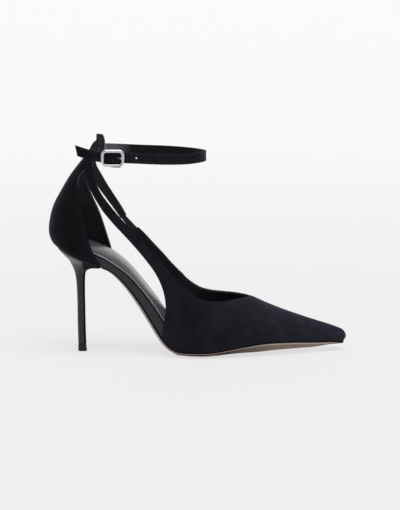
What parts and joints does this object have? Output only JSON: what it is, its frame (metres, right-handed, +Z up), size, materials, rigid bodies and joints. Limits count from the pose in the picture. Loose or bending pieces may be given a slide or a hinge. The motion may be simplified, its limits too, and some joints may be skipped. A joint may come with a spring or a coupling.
{
  "type": "stiletto pump",
  "caption": "Pointed suede pump for the right foot with open sides, sling straps to a tall heel counter, a buckled ankle strap and a slim stiletto heel.",
  "frame": {"origin": "on the floor under the middle of the shoe's bounding box", "axes": "+X to the toe, +Z up from the floor, -Y to the lateral side with the buckle"},
  "size_m": [0.2472, 0.0776, 0.1809],
  "materials": {
    "suede": "black suede, matt nap",
    "elastic": "black woven elastic",
    "sole_leather": "tan, smooth and matt",
    "sock_leather": "black, smooth and satin",
    "heel_cover": "black, satin gloss",
    "tip_rubber": "black, matt",
    "buckle_metal": "polished silver plate"
  },
  "bodies": {
    "root": {"upper": "suede", "sling_elastic": "elastic", "outsole": "sole_leather", "insole_board": "suede", "insole_sock": "sock_leather", "heel": "heel_cover", "heel_tip": "tip_rubber", "ankle_strap": "suede", "back_loop": "suede", "buckle_frame": "buckle_metal", "buckle_prong": "buckle_metal"}
  },
  "joints": []
}
